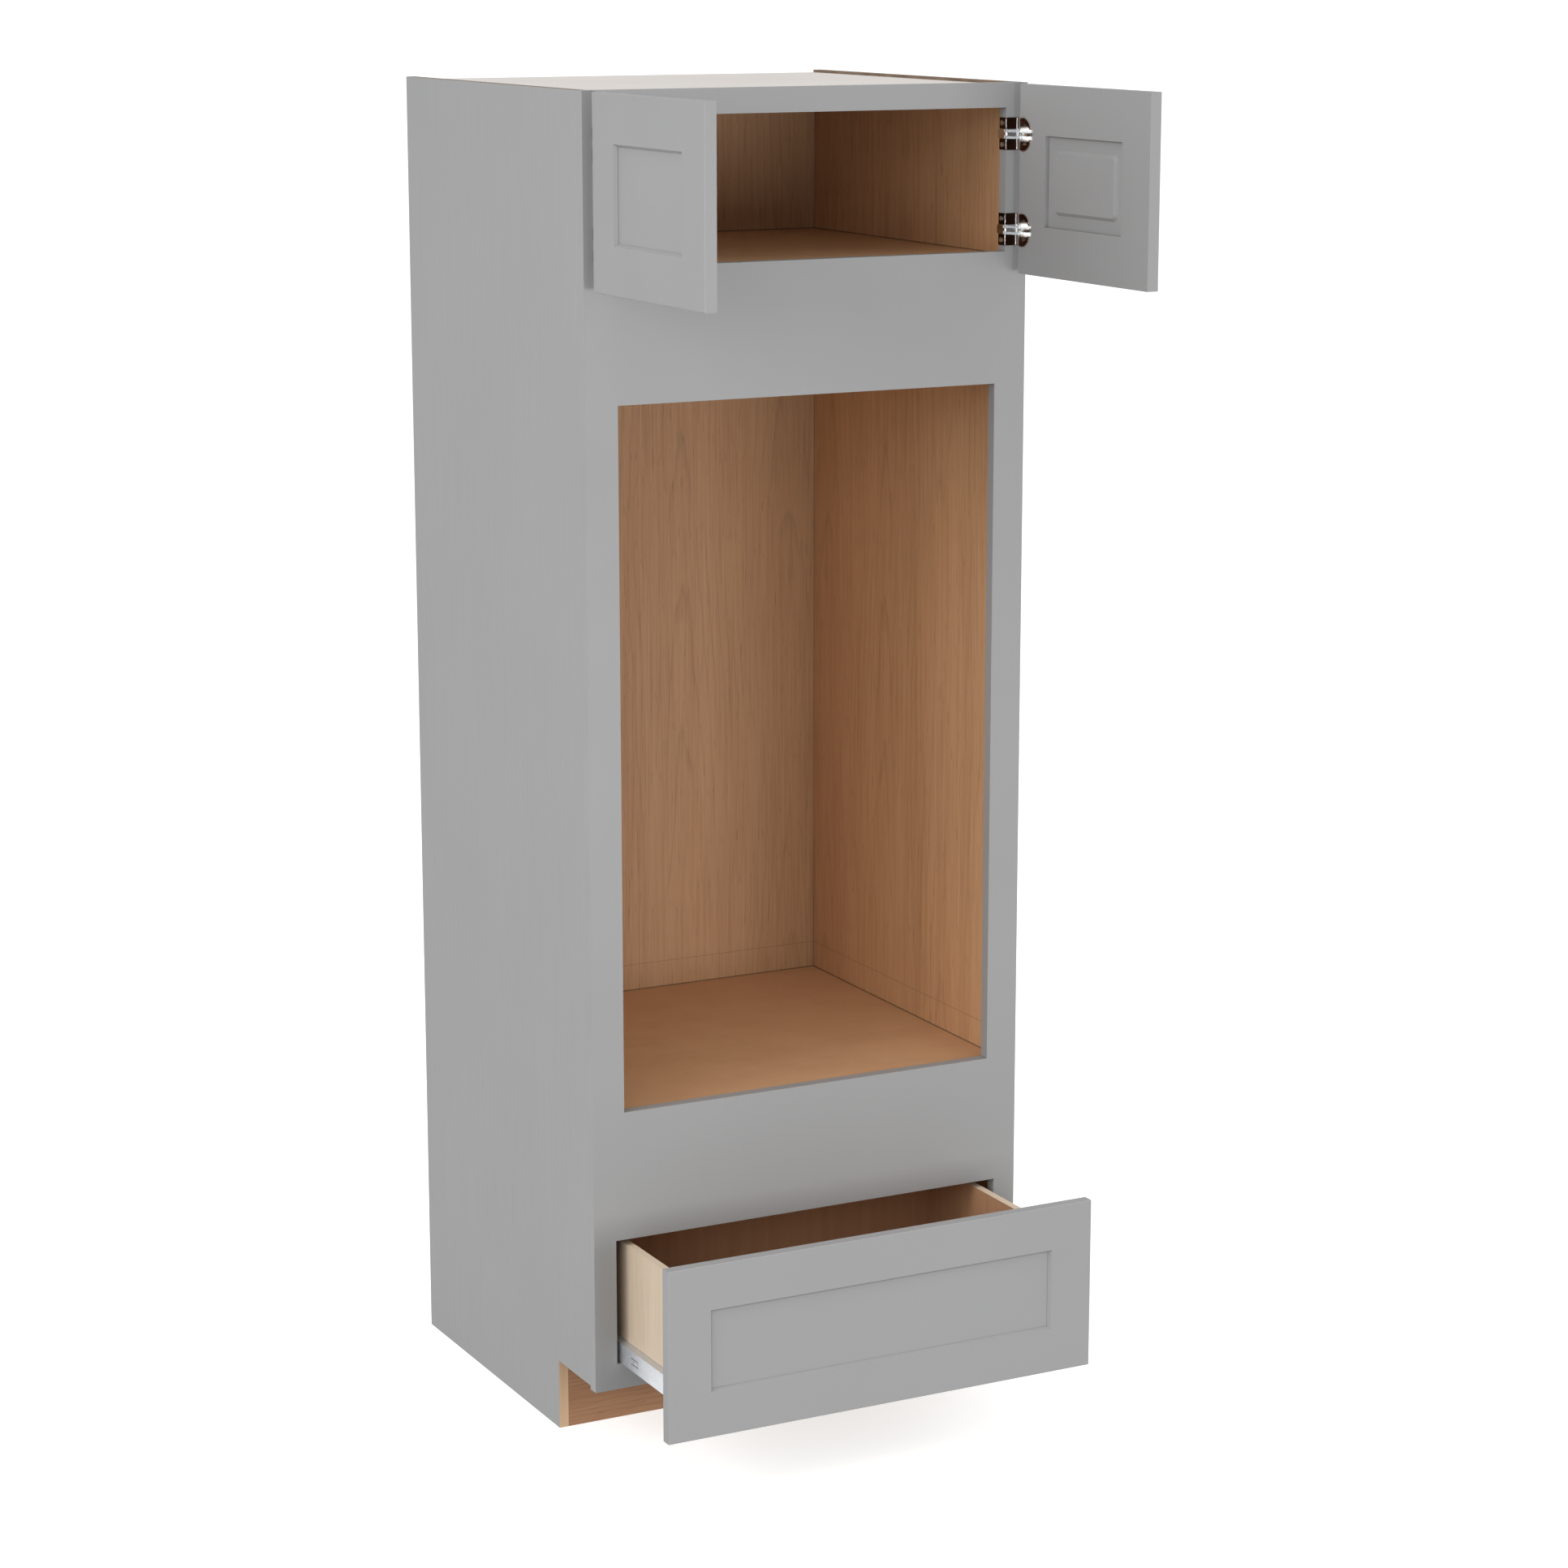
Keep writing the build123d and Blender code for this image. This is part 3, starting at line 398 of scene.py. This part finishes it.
def toe_kick_wood():
    n = Nodes("toe_kick_wood")
    light, middle, dark = (0.345, 0.192, 0.104), (0.300, 0.157, 0.081), (0.245, 0.122, 0.061)
    colour, rough = veneer(n, n.z, n.x, light, middle, dark, leaf_width=0.26, figure=0.3)
    return n.finish(colour, rough, Specular_IOR_Level=0.25)


def cream_board():
    n = Nodes("cream_board")
    fibre = n.noise(n.place, 240.0, 3.0, 0.6)
    patch = n.noise(n.place, 5.0, 2.0)
    tone = n.math("ADD", n.math("MULTIPLY", fibre, 0.4), n.math("MULTIPLY", patch, 0.6))
    colour = n.ramp(tone, ((0.3, (0.625, 0.585, 0.553)), (0.7, (0.668, 0.636, 0.603))))
    n.bump(fibre, 0.08 * MM, 0.5)
    return n.finish(colour, n.remap(fibre, 0.3, 0.7, 0.6, 0.75), Specular_IOR_Level=0.2)


def softwood():
    n = Nodes("softwood")
    light, middle, dark = (0.640, 0.450, 0.255), (0.580, 0.395, 0.215), (0.480, 0.310, 0.155)
    across = n.math("ADD", n.y, n.z)
    colour, rough = veneer(n, across, n.x, light, middle, dark, leaf_width=0.09, figure=0.7)
    return n.finish(colour, n.math("ADD", rough, 0.12), Specular_IOR_Level=0.2)


def runner_zinc():
    """Zinc-plated steel, drawn lengthwise, with faint spangle."""
    n = Nodes("runner_zinc")
    drawn = n.noise(n.join(n.math("MULTIPLY", n.x, 700.0), n.math("MULTIPLY", n.y, 9.0),
                           n.math("MULTIPLY", n.z, 700.0)), 1.0, 3.0)
    spangle = n.add("ShaderNodeTexVoronoi", feature="F1")
    n.put(spangle.inputs["Vector"], n.place)
    n.put(spangle.inputs["Scale"], 160.0)
    cell, _, _ = n.split(spangle.outputs["Color"])
    shade = n.math("MULTIPLY", n.remap(cell, 0.0, 1.0, 0.965, 1.035), n.remap(drawn, 0.3, 0.7, 0.96, 1.04))
    # Painted shade: ambient occlusion darkens the zinc in corners and creases.
    painted_crevice_shade = n.remap(n.crevice(5 * MM), 0.2, 0.9, 0.55, 1.0)
    n.bump(drawn, 0.03 * MM, 0.4)
    rough = n.remap(drawn, 0.3, 0.7, 0.34, 0.48)
    colour = n.scaled((0.665, 0.685, 0.715), n.math("MULTIPLY", shade, painted_crevice_shade))
    return n.finish(colour, rough, Metallic=0.75)


def painted_reflection_tone(n, bright, dark, highlight_half, reflected_dark_half):
    """Polished nickel with a painted reflection: bright at the arm's height and deep brown above and below
    it.
    """
    off = [n.math("ABSOLUTE", n.math("SUBTRACT", n.z, z)) for z in HINGE_ZS]
    nearest = n.math("MINIMUM", off[0], off[1])
    painted_dark_share = n.remap(nearest, highlight_half, reflected_dark_half, 0.0, 1.0, smooth=True)
    return n.mix(painted_dark_share, bright, dark)


def hinge_plate_painted_reflection():
    n = Nodes("hinge_plate_painted_reflection")
    # Painted reflection: a bright band at each hinge's height and deep brown around it.
    bright, dark = (0.86, 0.86, 0.85), (0.085, 0.040, 0.026)
    colour = painted_reflection_tone(n, bright, dark, highlight_half=6.6 * MM, reflected_dark_half=8.4 * MM)
    polish = n.noise(n.place, 300.0, 2.0)
    colour = n.scaled(colour, n.remap(polish, 0.3, 0.7, 0.94, 1.06))
    n.bump(polish, 0.01 * MM, 0.2)
    return n.finish(colour, n.remap(polish, 0.3, 0.7, 0.12, 0.2), Metallic=1.0)


def hinge_cup_painted_reflection():
    n = Nodes("hinge_cup_painted_reflection")
    # Painted reflection: a bright band at each hinge's height and deep brown around it.
    bright, dark = (0.90, 0.90, 0.89), (0.12, 0.062, 0.042)
    colour = painted_reflection_tone(n, bright, dark, highlight_half=7.0 * MM, reflected_dark_half=14.0 * MM)
    polish = n.noise(n.place, 300.0, 2.0)
    colour = n.scaled(colour, n.remap(polish, 0.3, 0.7, 0.94, 1.06))
    return n.finish(colour, n.remap(polish, 0.3, 0.7, 0.14, 0.24), Metallic=1.0)


def bright_nickel():
    n = Nodes("bright_nickel")
    polish = n.noise(n.place, 420.0, 2.0)
    colour = n.ramp(polish, ((0.3, (0.80, 0.80, 0.79)), (0.7, (0.90, 0.90, 0.88))))
    return n.finish(colour, n.remap(polish, 0.3, 0.7, 0.16, 0.26), Metallic=1.0)


def arm_nickel():
    n = Nodes("arm_nickel")
    polish = n.noise(n.place, 350.0, 2.0)
    colour = n.ramp(polish, ((0.3, (0.60, 0.64, 0.68)), (0.7, (0.72, 0.76, 0.80))))
    return n.finish(colour, n.remap(polish, 0.3, 0.7, 0.2, 0.3), Metallic=1.0)


def screw_steel():
    n = Nodes("screw_steel")
    polish = n.noise(n.place, 600.0, 2.0)
    colour = n.ramp(polish, ((0.3, (0.55, 0.53, 0.48)), (0.7, (0.68, 0.66, 0.60))))
    # Painted shade: ambient occlusion darkens the steel in its recess and corners.
    painted_crevice_shade = n.remap(n.crevice(2 * MM), 0.2, 0.9, 0.35, 1.0)
    return n.finish(n.scaled(colour, painted_crevice_shade), n.remap(polish, 0.3, 0.7, 0.25, 0.38), Metallic=1.0)


def clip_plastic():
    n = Nodes("clip_plastic")
    texture = n.noise(n.place, 900.0, 2.0)
    colour = n.ramp(texture, ((0.3, (0.155, 0.16, 0.17)), (0.7, (0.20, 0.205, 0.215))))
    n.bump(texture, 0.05 * MM, 0.5)
    return n.finish(colour, n.remap(texture, 0.3, 0.7, 0.45, 0.6), Specular_IOR_Level=0.4)


FLOOR_GLOW = 0.64


def floor_finish():
    """Seamless pale floor, lifted to the backdrop's white by a glow of its own."""
    n = Nodes("floor_finish")
    fibre = n.noise(n.place, 40.0, 2.0)
    colour = n.ramp(fibre, ((0.3, (0.59, 0.59, 0.59)), (0.7, (0.61, 0.61, 0.61))))
    n.put(n.shader.inputs["Emission Color"], (1.0, 1.0, 1.0, 1.0))
    rough = n.remap(fibre, 0.3, 0.7, 0.8, 0.9)
    return n.finish(colour, rough, Specular_IOR_Level=0.0, Emission_Strength=FLOOR_GLOW)


def dress(names, material):
    """Give CAD nodes their material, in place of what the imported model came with."""
    for name in names:
        slots = nodes[name].data.materials
        slots.clear()
        slots.append(material)


def dress_cabinet():
    painted = [name for name in nodes if name.startswith(("frame_", "oven_filler"))]
    painted += [name for name in nodes if name.startswith(("door_", "drawer_front_"))
                and "hinge_cups" not in name and "screws" not in name]
    dress(painted, grey_paint())
    dress(("side_panel_left", "side_panel_right"), side_panel_finish())
    dress(("back_panel",), back_wall_finish())
    dress(("oven_deck", "upper_deck", "bottom_deck"), deck_finish())
    dress(("drawer_side_left", "drawer_side_right", "drawer_box_front", "drawer_box_back"),
          drawer_maple("drawer_maple", upright=True))
    dress(("drawer_bottom",), drawer_maple("drawer_floor_maple", upright=False))
    dress(("toe_kick_board",), toe_kick_wood())
    dress(("top_panel",), cream_board())
    dress([name for name in nodes if name.startswith("hanging_rail")], softwood())
    dress(("rear_base_rail", "corner_blocks", "oven_deck_cleats", "runner_bearers"), softwood())
    dress([name for name in nodes if "_member_" in name], runner_zinc())
    dress(("hinge_bases_left", "hinge_bases_right"), hinge_plate_painted_reflection())
    dress(("door_left_hinge_cups", "door_right_hinge_cups"), hinge_cup_painted_reflection())
    dress(("hinge_arms_left", "hinge_arms_right"), arm_nickel())
    dress(("hinge_base_screws", "drawer_front_screws"), screw_steel())
    dress(("runner_rear_stops", "drawer_lock_clips"), clip_plastic())


def new_piece(name, mesh, material, body):
    obj = bpy.data.objects.new(name, mesh)
    bpy.context.scene.collection.objects.link(obj)
    obj.data.materials.append(material)
    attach(obj, body)
    return obj


BEAD_SIDES = 10


def sweep(bm, path, width, rise, up):
    """A bead along a path of points: width to either side of it, rise along up, with domed ends."""
    rings = []
    for index, point in enumerate(path):
        before = path[max(index - 1, 0)]
        after = path[min(index + 1, len(path) - 1)]
        along = (after - before).normalized()
        upward = (up - along * along.dot(up)).normalized()
        across = along.cross(upward)
        ring = []
        for side in range(BEAD_SIDES):
            angle = 2 * math.pi * side / BEAD_SIDES
            offset = rise * math.cos(angle) * upward + width * math.sin(angle) * across
            ring.append(bm.verts.new(point + offset))
        rings.append(ring)
    for low, high in zip(rings, rings[1:]):
        for side in range(BEAD_SIDES):
            following = (side + 1) % BEAD_SIDES
            bm.faces.new((low[side], low[following], high[following], high[side]))
    for ring, point, inner in ((rings[0], path[0], path[1]), (rings[-1], path[-1], path[-2])):
        tip = bm.verts.new(point + (point - inner).normalized() * rise * DOME_SHARE)
        for side in range(BEAD_SIDES):
            bm.faces.new((ring[side], ring[(side + 1) % BEAD_SIDES], tip))


def finish_mesh(name, bm):
    bmesh.ops.recalc_face_normals(bm, faces=bm.faces)
    mesh = bpy.data.meshes.new(name)
    bm.to_mesh(mesh)
    bm.free()
    for polygon in mesh.polygons:
        polygon.use_smooth = True
    return mesh


def plate_beads(side):
    """Bright edges on the hinge plates: a rolled one on the jamb's corner and a low rib across the front."""
    plate_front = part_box("frame_stile_right")[0].y - PLATE_THICKNESS
    corner_x = JAMB_X - PLATE_THICKNESS + ROLL_RADIUS - ROLL_PAST_JAMB
    corner = (corner_x, plate_front + ROLL_RADIUS - EDGE_STAND, ROLL_RADIUS, ROLL_RADIUS)
    rib = (JAMB_X + RIB_FROM_JAMB, plate_front, RIB_HALF_WIDTH, EDGE_STAND)
    reach = HINGE_PLATE_HALF - ROLL_RADIUS
    steps = 6
    bm = bmesh.new()
    for z in HINGE_ZS:
        for x, y, width, rise in (corner, rib):
            path = [Vector((side * x, y, z + reach * (2 * step / steps - 1))) for step in range(steps + 1)]
            sweep(bm, path, width, rise, Vector((0, -1, 0)))
    return finish_mesh("hinge_plate_beads", bm)


def cup_rims(side):
    """Bright low rim round each hinge flange, in two arcs that leave the arm's way free."""
    low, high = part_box("door_right_hinge_cups")
    centre_y = high.y - RIM_CENTRE_INSET
    start = math.acos((RIM_CENTRE_INSET - RIM_HALF_WIDTH) / RIM_RADIUS)
    end = math.pi - math.asin(RIM_GAP_HALF / RIM_RADIUS)
    steps = 20
    bm = bmesh.new()
    for z in HINGE_ZS:
        for up_down in (1, -1):
            path = []
            for step in range(steps + 1):
                angle = start + (end - start) * step / steps
                y = centre_y + RIM_RADIUS * math.cos(angle)
                path.append(Vector((side * low.x, y, z + up_down * RIM_RADIUS * math.sin(angle))))
            sweep(bm, path, RIM_HALF_WIDTH, EDGE_STAND, Vector((1, 0, 0)))
    return finish_mesh("hinge_cup_rims", bm)


def add_details():
    bright = bright_nickel()
    for word, side in (("right", 1), ("left", -1)):
        new_piece(f"hinge_plate_beads_{word}", plate_beads(side), bright, "cabinet")
        new_piece(f"hinge_cup_rims_{word}", cup_rims(side), bright, f"door_{word}")


METAL_EDGE = 0.25 * MM
WELD_DISTANCE = 0.005 * MM


def metal_edges():
    """Small rolled edges on the runners, hinge plates and arms."""
    for name, obj in nodes.items():
        if "_member_" in name or "hinge_bases" in name or "hinge_arms" in name:
            weld = obj.modifiers.new("weld", "WELD")
            weld.merge_threshold = WELD_DISTANCE
            bevel = obj.modifiers.new("bevel", "BEVEL")
            bevel.width = METAL_EDGE
            bevel.segments = 2
            bevel.limit_method = "ANGLE"
            bevel.harden_normals = True


FLOOR_HALF = 60.0
FLOOR_STEPS = 24
FLOOR_DROP = 0.2 * MM


def make_floor():
    """Wide floor. It is hidden from diffuse rays, so its glow doesn't light the cabinet from below."""
    bm = bmesh.new()
    bmesh.ops.create_grid(bm, x_segments=FLOOR_STEPS, y_segments=FLOOR_STEPS, size=FLOOR_HALF)
    floor = bpy.data.objects.new("floor", finish_mesh("floor", bm))
    floor.location.z = cad_low.z - FLOOR_DROP
    floor.data.materials.append(floor_finish())
    floor.visible_diffuse = False
    bpy.context.scene.collection.objects.link(floor)


LOW_TARGET = (0.0, 0.0, 0.9)
MIDDLE_TARGET = (0.0, 0.0, 1.05)


def make_light(name, place, target, size, power):
    """Soft area light, not seen by the camera. Its size is in metres and its power in watts."""
    lamp = bpy.data.lights.new(name, "AREA")
    lamp.shape = "RECTANGLE"
    lamp.size, lamp.size_y = size
    lamp.energy = power
    obj = bpy.data.objects.new(name, lamp)
    obj.location = place
    obj.rotation_euler = (Vector(target) - Vector(place)).to_track_quat("-Z", "Y").to_euler()
    obj.visible_camera = False
    bpy.context.scene.collection.objects.link(obj)


SKY_LIGHT = 0.48
SKY_TOP_LIGHT = 1.08
SKY_SEEN = 1.02


def make_world():
    """Pale sky, brighter overhead. The camera itself sees plain white."""
    world = bpy.data.worlds.new("studio")
    world.use_nodes = True
    tree = world.node_tree
    background = tree.nodes["Background"]
    background.inputs["Color"].default_value = (1.0, 1.0, 1.0, 1.0)
    seen = tree.nodes.new("ShaderNodeLightPath").outputs["Is Camera Ray"]
    strength = tree.nodes.new("ShaderNodeMapRange")
    tree.links.new(seen, strength.inputs["Value"])
    direction = tree.nodes.new("ShaderNodeTexCoord").outputs["Generated"]
    height = tree.nodes.new("ShaderNodeSeparateXYZ")
    tree.links.new(direction, height.inputs[0])
    sky = tree.nodes.new("ShaderNodeMapRange")
    tree.links.new(height.outputs["Z"], sky.inputs["Value"])
    sky.inputs["To Min"].default_value = SKY_LIGHT
    sky.inputs["To Max"].default_value = SKY_TOP_LIGHT
    tree.links.new(sky.outputs[0], strength.inputs["To Min"])
    strength.inputs["To Max"].default_value = SKY_SEEN
    tree.links.new(strength.outputs[0], background.inputs["Strength"])
    bpy.context.scene.world = world
    bpy.context.scene.view_settings.view_transform = "Standard"


CAMERA_PLACE = (-2.779, -5.424, 2.348)
CAMERA_AIM = (0.4599, 0.8883, -0.2170)
CAMERA_LENS = 89.2
CAMERA_SENSOR = 36.0


def make_camera():
    camera = bpy.data.cameras.new("camera")
    camera.sensor_width = CAMERA_SENSOR
    camera.lens = CAMERA_LENS
    obj = bpy.data.objects.new("camera", camera)
    obj.location = CAMERA_PLACE
    obj.rotation_euler = Vector(CAMERA_AIM).to_track_quat("-Z", "Y").to_euler()
    bpy.context.scene.collection.objects.link(obj)
    bpy.context.scene.camera = obj


make_camera()
dress_cabinet()
metal_edges()
add_details()
make_floor()
make_world()
make_light("front", (0.7, -6.4, 0.9), LOW_TARGET, size=(2.6, 1.6), power=157.0)
make_light("side", (-5.6, -1.3, 3.9), MIDDLE_TARGET, size=(3.4, 3.4), power=164.0)
make_light("front_left", (-4.6, -4.6, 2.3), MIDDLE_TARGET, size=(3.0, 3.0), power=96.0)
make_light("right", (5.8, 0.6, 3.6), MIDDLE_TARGET, size=(3.4, 3.4), power=105.0)
